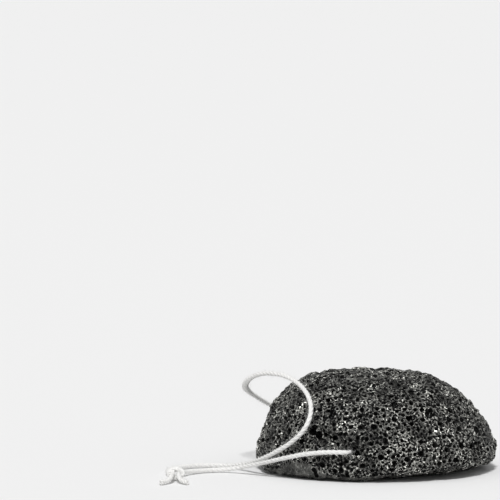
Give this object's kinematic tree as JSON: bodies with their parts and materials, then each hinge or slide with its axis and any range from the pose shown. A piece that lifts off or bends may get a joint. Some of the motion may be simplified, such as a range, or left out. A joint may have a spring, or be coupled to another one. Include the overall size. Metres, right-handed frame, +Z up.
{
  "type": "konjac sponge",
  "caption": "Half-ball konjac facial sponge with a flat base, an open-pored dome and a white cotton cord threaded through it as a hanging loop.",
  "frame": {"origin": "middle of the sponge's flat base, on the surface it stands on", "axes": "+Z up out of the dome's crown, +X to the right of the front view, which shows the front cord mouth, +Y to the rear"},
  "size_m": [0.1074, 0.0821, 0.032],
  "materials": {
    "sponge": "charcoal-grey dry konjac foam, dense open pores, matt with a few glints",
    "cord": "soft white twisted cotton, slightly fuzzy"
  },
  "bodies": {
    "sponge": {"sponge_body": "sponge"},
    "cord": {"cord_threaded": "cord", "cord_front_strand": "cord", "cord_rear_strand": "cord", "loop_knot": "cord", "cord_tail_front": "cord", "cord_tail_rear": "cord"}
  },
  "joints": [
    {"name": "cord_draw", "type": "slide", "parent": "sponge", "child": "cord", "axis": [0.1727, -0.985, 0], "range_m": [0, 0.003]}
  ]
}
